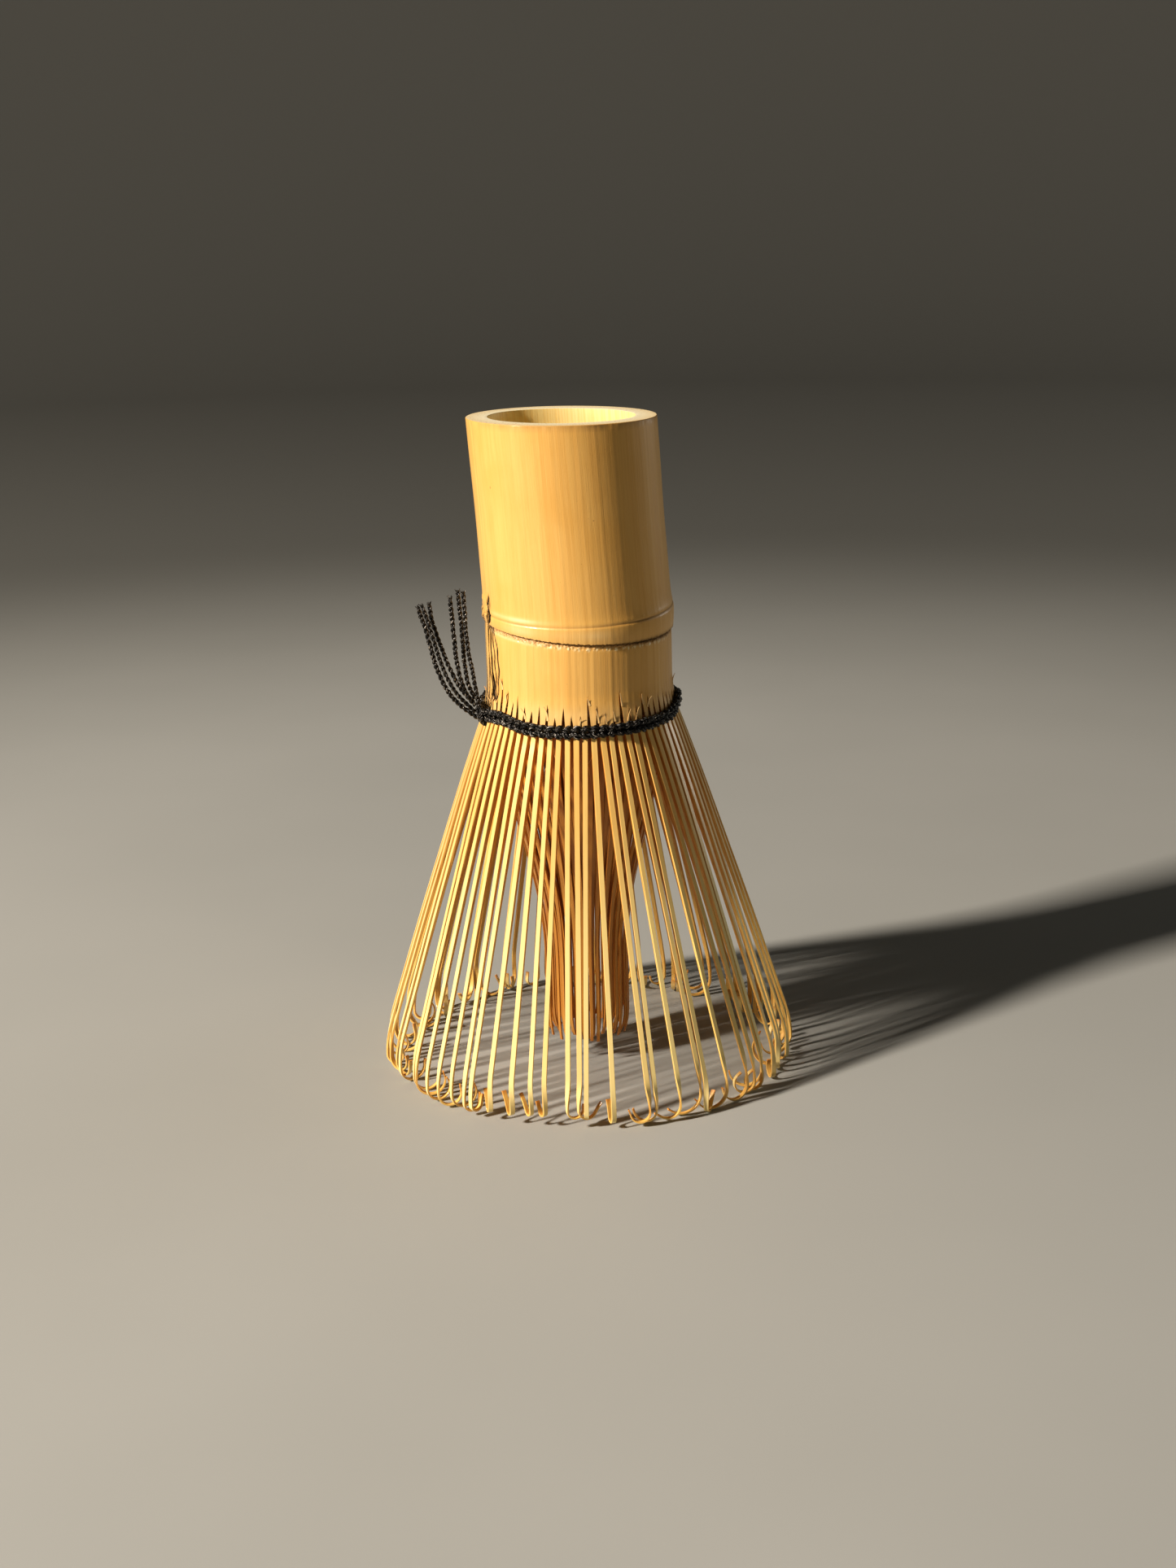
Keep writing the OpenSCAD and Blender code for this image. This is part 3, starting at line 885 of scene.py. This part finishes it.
def outer_traits():
    """Lean, hook twist and other traits of each outer tine, by its azimuth."""
    places, traits = [], {}
    while len(places) < TINES:
        size = int(rng.choice([1, 2, 3], p=[0.35, 0.40, 0.25]))
        places.extend(k - (size - 1) / 2 for k in range(size))
    for cell in range(TINES):
        azimuth, place = float(wrap(PITCH * cell + PITCH / 2)), places[cell]
        lean = -place * PITCH * rng.uniform(0.25, 0.62) + rng.normal(0, 0.5)
        twist, hook_r, turn = rng.uniform(-70, 70), rng.uniform(1.3, 2.9), rng.uniform(150, 215)
        leg, short = rng.uniform(0, 2.2), abs(rng.normal(0, 0.35))
        k = round((azimuth - FRONT_FIRST) / PITCH)
        if 0 <= k < len(FRONT_TINES):
            lean, twist, hook_r, turn, leg = FRONT_TINES[k]
            short = 0.2 * short + 1.9 * float(bell(azimuth, -14, 24))
        traits[azimuth] = {
            "lean": lean, "twist": twist, "hook_r": hook_r, "turn": turn, "leg": leg, "short": short,
            "width": rng.uniform(0.92, 1.08), "slope": rng.normal(0, 0.22), "tone": rng.uniform(0, 1),
        }
    return traits


def outer_slopes(trait, s, knee_end, hook_at, total):
    """Slope from upright at each distance down an outer tine, through its bend and its hook."""
    slope, turn = math.radians(TINE_SLOPE + trait["slope"]), math.radians(trait["turn"])
    angle = ROOT_SLOPE + (slope - ROOT_SLOPE) * ease(0, KNEE, s)
    angle = angle + BULGE * np.cos(np.pi * np.clip(s / knee_end, 0, 1)) * ease(0, KNEE, s)
    angle = angle - slope * np.clip((s - knee_end) / (BEND_R * slope), 0, 1)
    angle = angle - turn * np.clip((s - hook_at) / (trait["hook_r"] * turn), 0, 1)
    return angle + math.radians(12) * ease(total - trait["leg"] - 0.2, total + 0.5, s)


def outer_path(azimuth, trait):
    """Stations down one outer tine: points, across and outward directions, and distance from the root."""
    slope = math.radians(TINE_SLOPE + trait["slope"])
    start_z = band_z(azimuth) - LAND_END + 0.12
    root_r = float(culm_outside(azimuth, start_z)) - ROOT_HALF_T
    hook = trait["hook_r"] * math.radians(trait["turn"])
    straight = 48.0
    for _ in range(3):
        knee_end = KNEE + straight
        hook_at = knee_end + BEND_R * slope
        total = hook_at + hook + trait["leg"]
        s = np.arange(0, total + STEP / 2, STEP)
        angle = outer_slopes(trait, s, knee_end, hook_at, total)
        drop = np.cumsum(np.cos(angle)) * STEP
        too_high = start_z - drop.max() - 0.15 - trait["short"]
        straight += too_high / math.cos(slope)
    hook_at = KNEE + straight + BEND_R * slope
    spin = -math.radians(trait["twist"]) * ease(hook_at - 6, hook_at + 0.5, s)
    a = math.radians(azimuth)
    radial, side = np.array([math.sin(a), -math.cos(a), 0]), np.array([math.cos(a), math.sin(a), 0])
    facing = np.cos(spin)[:, None] * radial + np.sin(spin)[:, None] * side
    up = np.array([0, 0, 1.0])
    lean = TIP_R * math.radians(trait["lean"]) / hook_at
    bow = 0.004 * (trait["tone"] - 0.5)
    leaning = lean * np.clip((hook_at - s) / 4, 0, 1) + bow * np.sin(s / hook_at * 6)
    heading = unit(np.sin(angle)[:, None] * facing - np.cos(angle)[:, None] * up + leaning[:, None] * side)
    points = polar(azimuth, root_r, start_z) + np.cumsum(heading * STEP, axis=0) - heading[0] * STEP
    out = np.cos(angle)[:, None] * facing + np.sin(angle)[:, None] * up
    out = unit(out - heading * np.sum(out * heading, axis=1, keepdims=True))
    across = np.cross(out, heading)
    keep = outer_stations(len(s), hook_at)
    return points[keep], across[keep], out[keep], s[keep], hook_at


def outer_stations(count, hook_at):
    """The stations that are kept: few down the straight part, more in the bend, and all in the hook."""
    root, bend, hook = int(5 / STEP), int((hook_at - 8) / STEP), int(hook_at / STEP)
    return np.concatenate([np.arange(0, root, 4), np.arange(root, bend, 14),
                           np.arange(bend, hook, 4), np.arange(hook, count)])


def tine_values(s, offset, tone, tip, end):
    """Material attributes of one swept tine."""
    rows, columns = len(s), len(BAR)
    section = np.array(BAR)
    grain = np.zeros((rows, columns, 3))
    grain[..., 0] = section[:, 0] * 0.4 + offset
    grain[..., 1] = s[:, None] + offset * 3
    grain[..., 2] = section[:, 1] * 0.2
    return {"grain": grain.reshape(-1, 3), "skin": np.tile(BAR_SKIN, rows),
            "tone": np.full(rows * columns, tone), "tip": np.repeat(tip, columns),
            "end": np.repeat(end, columns)}


def splinter(parts, start, direction, length, curl):
    """A fine curved fibre that has split off a tine."""
    t = np.linspace(0, 1, 9)[:, None]
    side = unit(np.cross(direction, np.array([0.3, 0.5, 0.8])))
    points = start + direction * length * t + side * curl * t ** 2
    u, v = carried_frame(points, side)
    radius = 0.055 * (1 - 0.8 * t[:, 0])
    verts, faces = sweep(points, u, v, ring(5)[1], radius, radius)
    parts.add(verts, faces, grain=start + verts * 0.2, skin=0.9, tone=0.0, tip=0.0, end=0.0)


def add_outer_tine(parts, azimuth, trait):
    """One outer tine, with up to two splinters near its root."""
    points, across, out, s, hook_at = outer_path(azimuth, trait)
    total = s[-1]
    half_w = (0.455 - 0.055 * ease(0, 30, s)) * trait["width"] * (1 - 0.12 * ease(hook_at, total, s))
    half_t = ROOT_HALF_T + 0.14 * ease(0, 4, s) - 0.19 * ease(9, 30, s)
    half_t -= 0.11 * ease(24, hook_at - 4, s) + 0.07 * ease(hook_at - 5, total, s)
    verts, faces = sweep(points, across, out, BAR, half_w, half_t)
    tip, end = ease(2, hook_at - 10, s), 0.8 * ease(total - 1.2, total, s)
    parts.add(verts, faces, **tine_values(s, rng.uniform(0, 90), trait["tone"], tip, end))
    for _ in range(int(rng.integers(0, 3))):
        i = int(rng.integers(3, 12))
        heading = unit(points[i + 1] - points[i])
        sign = rng.choice([-1, 1])
        start = points[i] + across[i] * (half_w[i] - 0.04) * sign - out[i] * 0.1
        side = across[i] * sign * rng.uniform(0.08, 0.45)
        direction = unit(heading + side - out[i] * rng.uniform(0, 0.35))
        splinter(parts, start, direction, rng.uniform(1.2, 3.6), rng.uniform(-0.9, 0.9))


def make_outer_tines():
    traits = outer_traits()
    for group in range(OUTER_GROUPS):
        parts = Parts()
        for azimuth in group_azimuths(group, OUTER_GROUPS):
            add_outer_tine(parts, azimuth, traits[azimuth])
        place_group(parts, "outer", group, OUTER)


def inner_path(azimuth, tip_r, uneven, curl, short):
    """Stations down one inner tine: from the slit inwards to the core, with a small curl at the tip."""
    top_z, tip_z = CROWN_Z + 5.6, INNER_TIP_Z + short
    core_z, root_r, slit_r = 18.0, 13.75, 14.85
    z = np.concatenate([np.linspace(top_z, CROWN_Z, 11)[:-1], np.linspace(CROWN_Z, core_z, 22),
                        np.linspace(core_z, tip_z, 9)[1:]])
    along = np.clip((CROWN_Z - z) / (CROWN_Z - core_z), 0, 1)
    r = tip_r + (root_r - tip_r) * (1 + np.cos(np.pi * along)) / 2
    r = r + (slit_r - root_r) * ease(band_z(azimuth) + 0.3, band_z(azimuth) + 2.4, z)
    r = r - 1.1 * curl * np.clip((tip_z + 4 - z) / 4, 0, 1) ** 2
    points = polar(azimuth + uneven * ease(core_z, CROWN_Z, z), r, z)
    heading = tangents(points)
    a = math.radians(azimuth)
    side = np.array([math.cos(a), math.sin(a), 0])
    across = unit(side - heading * (heading @ side)[:, None])
    return points, across, np.cross(heading, across), distances(points)


def make_inner_tines():
    for group in range(INNER_GROUPS):
        parts = Parts()
        for k, azimuth in enumerate(group_azimuths(group, INNER_GROUPS)):
            uneven, curl, short = rng.normal(0, 1.2), rng.uniform(0.2, 1.3), abs(rng.normal(0, 0.9))
            tip_r = 5.7 + 1.1 * (k % 2) + rng.uniform(-0.15, 0.35)
            points, across, out, s = inner_path(azimuth, tip_r, uneven, curl, short)
            half_w = 0.61 - 0.15 * ease(4, 15, s) - 0.20 * ease(20, 50, s)
            half_t = 0.30 - 0.16 * ease(4, 26, s)
            verts, faces = sweep(points, across, out, BAR, half_w, half_t)
            tip, end = 0.5 * ease(s[-1] - 12, s[-1], s), 0.6 * ease(s[-1] - 2, s[-1], s)
            parts.add(verts, faces, **tine_values(s, rng.uniform(0, 90), rng.uniform(0, 1), tip, end))
        place_group(parts, "inner", group, INNER)


# ---- thread ----

def twisted_cord(parts, path, diameter, turn_length=2.1, phase=0.0, plies=3):
    """Plies twisted round a path."""
    ply_r = diameter * (0.245 if plies == 3 else 0.265)
    u, v = carried_frame(path, unit(np.array([0.2, 0.3, 1.0])))
    s = distances(path)
    turns = max(1, round(s[-1] / turn_length))
    angles, section = ring(7)
    for ply in np.arange(plies) * 2 * math.pi / plies:
        spin = phase + ply + 2 * math.pi * turns * s / s[-1] + 0.5 * np.sin(s * 0.9 + phase)
        wobble = (0.13 * np.sin(s * 5.1 + ply) + 0.09 * np.sin(s * 11.7 + 2 * ply)
                  + 0.07 * np.sin(s * 2.3 + ply))
        centre = path + (np.cos(spin)[:, None] * u + np.sin(spin)[:, None] * v) * ply_r
        cu, cv = carried_frame(centre, u[0])
        radius = ply_r * (1 + wobble)
        verts, faces = sweep(centre, cu, cv, section, radius, radius)
        grain = np.zeros((len(path), len(angles), 3))
        grain[..., 0] = np.cos(angles + 1.5 * s[:, None]) * 0.5 + ply
        grain[..., 1] = s[:, None]
        grain[..., 2] = np.sin(angles + 1.5 * s[:, None]) * 0.5
        parts.add(verts, faces, grain=grain.reshape(-1, 3))


def row_path(offset, shift):
    """One row of thread: it bulges over each land and dips into each slit."""
    azimuth = np.linspace(-180 + BUD_AZ, 180 + BUD_AZ, 2000)
    wave = np.cos(np.radians(azimuth - PITCH / 2) * TINES)
    side = np.sin(np.radians(azimuth - PITCH / 2) * TINES)
    loose = ripple(azimuth, (7, 12, 19), 80 + shift, 0.4)
    height = offset * (1 + 0.20 * wave + 0.10 * loose)
    z = band_z(azimuth) + height + 0.12 * side * (-1) ** shift
    r = culm_outside(azimuth, band_z(azimuth)) + CORD_D * 0.38 + 0.22 * wave + 0.05 * loose
    return even(polar(azimuth, r, z), 0.13)


def place_thread(parts, name, node):
    """A piece of thread, which rides on the handle in place of a CAD node."""
    piece = parts.build(name, THREAD, sharp=60)
    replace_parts(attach(piece, "handle"), node)


def make_thread_rows():
    for shift, row in enumerate(("upper", "lower")):
        parts = Parts()
        offset = ROW_OFFSET * (-1) ** shift
        twisted_cord(parts, row_path(offset, shift), CORD_D * 1.08, turn_length=4.2, phase=shift * 1.3)
        place_thread(parts, f"thread_{row}", f"thread_row_{row}")
    parts = Parts()
    azimuth = np.linspace(-180, 180, 1200)
    wave = np.cos(np.radians(azimuth) * TINES)
    path = even(polar(azimuth, 14.75 + 0.06 * wave, band_z(azimuth) - 0.1), 0.2)
    twisted_cord(parts, path, 0.78)
    place_thread(parts, "thread_inside", "thread_inner_row")


# Routes of the loose ends, from the knot to the free end, as in the CAD model
TAIL_ROUTES = [
    [(-16.9, -5.6, 61.6), (-19.0, -5.8, 63.2), (-21.3, -6.0, 65.7), (-22.8, -6.1, 68.8),
     (-23.8, -6.1, 72.0), (-24.7, -6.0, 76.0), (-25.9, -5.9, 80.1)],
    [(-17.3, -5.9, 62.7), (-19.2, -6.6, 64.8), (-20.9, -7.1, 67.3), (-22.2, -7.3, 70.4),
     (-23.2, -7.3, 73.8), (-24.1, -7.2, 77.2), (-25.1, -7.1, 80.6)],
    [(-17.3, -5.2, 63.6), (-19.5, -5.2, 66.4), (-21.0, -5.1, 69.3), (-22.2, -5.0, 72.5),
     (-23.2, -4.9, 75.6), (-23.9, -4.8, 78.2), (-24.2, -4.7, 80.3)],
    [(-17.4, -6.3, 64.1), (-18.8, -6.9, 66.5), (-19.6, -7.3, 69.3), (-20.0, -7.5, 72.2),
     (-20.2, -7.6, 75.2), (-20.4, -7.6, 78.6), (-20.6, -7.6, 81.8)],
    [(-17.4, -4.4, 64.6), (-18.4, -4.3, 67.2), (-18.8, -4.2, 70.0), (-19.0, -4.1, 73.2),
     (-19.1, -4.1, 76.4), (-19.3, -4.0, 79.4), (-19.5, -4.0, 82.2)],
    [(-16.7, -7.0, 64.0), (-17.0, -7.5, 66.8), (-17.4, -7.8, 69.8), (-17.9, -8.0, 73.0),
     (-18.2, -8.0, 76.2), (-18.3, -7.9, 79.4), (-18.4, -7.8, 82.6)],
]


def frayed_end(parts, end, heading):
    """A small tuft of loose fibres at the end of a tail."""
    u, v = carried_frame(np.array([end, end + heading]), np.array([0.9, 0.2, 0.1]))
    t = np.linspace(0, 1, 6)[:, None]
    radius = 0.085 * (1 - 0.4 * t[:, 0])
    for _ in range(16):
        a, lean = rng.uniform(0, 2 * math.pi), rng.uniform(0.05, 0.5)
        side = math.cos(a) * u[0] + math.sin(a) * v[0]
        reach = rng.uniform(0.35, 0.95) * t
        points = end - heading * 0.15 + side * 0.13 + heading * reach + side * lean * reach * t ** 0.5
        cu, cv = carried_frame(points, side)
        verts, faces = sweep(points, cu, cv, ring(5)[1], radius, radius)
        parts.add(verts, faces, grain=verts * 2.0)


def make_tails():
    for number, route in enumerate(TAIL_ROUTES, 1):
        parts = Parts()
        path = through(route, 0.14)
        diameter = TAIL_D * rng.uniform(0.85, 1.0)
        twisted_cord(parts, path, diameter, turn_length=1.75, phase=number * 1.1, plies=2)
        frayed_end(parts, path[-1], tangents(path)[-1])
        place_thread(parts, f"thread_end_{number}", f"thread_tail_{number}")


def make_knot():
    """An overhand knot drawn tight against the rows, with a turn round them."""
    low, high = cad_mm("thread_knot")
    centre = (low + high) / 2
    radial = unit(np.array([centre[0], centre[1], 0]))
    side = np.array([-radial[1], radial[0], 0])
    up = np.array([0, 0, 1.0])
    t = np.linspace(0, 2 * math.pi, 240)
    x, y, depth = np.sin(t) + 2 * np.sin(2 * t), np.cos(t) - 2 * np.cos(2 * t), -np.sin(3 * t)
    parts = Parts()
    path = centre + side * (0.38 * x)[:, None] + up * (0.46 * y)[:, None]
    path = path + radial * (0.36 * depth - 0.45)[:, None]
    twisted_cord(parts, even(path, 0.13), CORD_D * 0.92)
    for shift in (-0.55, 0.55):
        loop = centre - radial * 1.2 - up * 0.9 + side * (shift + 0.15 * np.sin(t))[:, None]
        loop = loop + radial * (0.95 * np.cos(t))[:, None] + up * (1.35 * np.sin(t))[:, None]
        twisted_cord(parts, even(loop, 0.13), CORD_D * 0.85)
    place_thread(parts, "thread_knot_tied", "thread_knot")


# ---- room, lights and camera, in metres and degrees, with the lens and its sensor in millimetres ----

FLOOR_R, WALL_BEND_R, WALL_TOP = 1.1, 0.6, 2.4
MIDDLE = Vector((0, 0, 0.055))          # what the lights face
CAMERA_PLACE = (0.00097, -0.382, 0.1553)
CAMERA_DOWN, CAMERA_ROLL = 15.66, -1.43
CAMERA_LENS, CAMERA_SENSOR = 53.95, 36


def make_floor():
    """A pale round floor that curves up into a wall."""
    bend = np.linspace(0.1, math.pi / 2, 12)
    flat = [0.02, 0.1, 0.25, 0.5, 0.8, FLOOR_R]
    radius = np.concatenate([flat, FLOOR_R + WALL_BEND_R * np.sin(bend), [FLOOR_R + WALL_BEND_R]])
    height = np.concatenate([np.zeros(len(flat)), WALL_BEND_R * (1 - np.cos(bend)), [WALL_TOP]])
    azimuth = np.linspace(-180, 180, 96, endpoint=False)
    verts = polar(azimuth[None, :], radius[:, None], height[:, None]).reshape(-1, 3)
    faces = grid_faces(len(radius), len(azimuth)) + [list(range(len(azimuth)))[::-1]]
    make_object("floor", verts / MM, faces, [plain_floor()])


def area_light(name, azimuth, elevation, distance, size, power, colour):
    """A square light that faces the middle of the whisk."""
    light = bpy.data.lights.new(name, "AREA")
    light.shape = "SQUARE"
    light.size = size
    light.energy = power
    light.color = colour
    obj = bpy.data.objects.new(name, light)
    e = math.radians(elevation)
    place = polar(azimuth, math.cos(e) * distance, math.sin(e) * distance)
    obj.location = Vector(place.tolist()) + MIDDLE
    obj.rotation_euler = (MIDDLE - obj.location).to_track_quat("-Z", "Y").to_euler()
    bpy.context.scene.collection.objects.link(obj)


def make_lights():
    """A key light from the left front, a dim reflector behind the right side, and a little fill."""
    area_light("key", azimuth=-60, elevation=32, distance=1.5, size=0.14, power=36,
               colour=(1.0, 0.875, 0.75))
    area_light("reflector", azimuth=122, elevation=8, distance=1.4, size=0.5, power=2.6,
               colour=(1.0, 0.95, 0.88))
    world = bpy.data.worlds.new("studio")
    world.use_nodes = True
    background = world.node_tree.nodes["Background"]
    background.inputs["Color"].default_value = (0.85, 0.88, 0.92, 1)
    background.inputs["Strength"].default_value = 0.01
    bpy.context.scene.world = world


def make_camera():
    """Level with the rim and a little above it, tilted down to the tips, with a slight roll."""
    camera = bpy.data.objects.new("camera", bpy.data.cameras.new("camera"))
    camera.data.lens = CAMERA_LENS
    camera.data.sensor_width = CAMERA_SENSOR
    camera.data.clip_start = 0.01
    down, roll = math.radians(CAMERA_DOWN), math.radians(CAMERA_ROLL)
    turn = Matrix.Rotation(math.pi / 2 - down, 4, "X") @ Matrix.Rotation(roll, 4, "Z")
    camera.matrix_world = Matrix.Translation(CAMERA_PLACE) @ turn
    bpy.context.scene.collection.objects.link(camera)
    bpy.context.scene.camera = camera


bpy.context.scene.view_settings.view_transform = "Standard"
bpy.context.scene.view_settings.look = "Medium High Contrast"
make_camera()
make_lights()
make_floor()
make_handle()
make_node()
make_septum()
make_comb()
make_outer_tines()
make_inner_tines()
make_thread_rows()
make_knot()
make_tails()
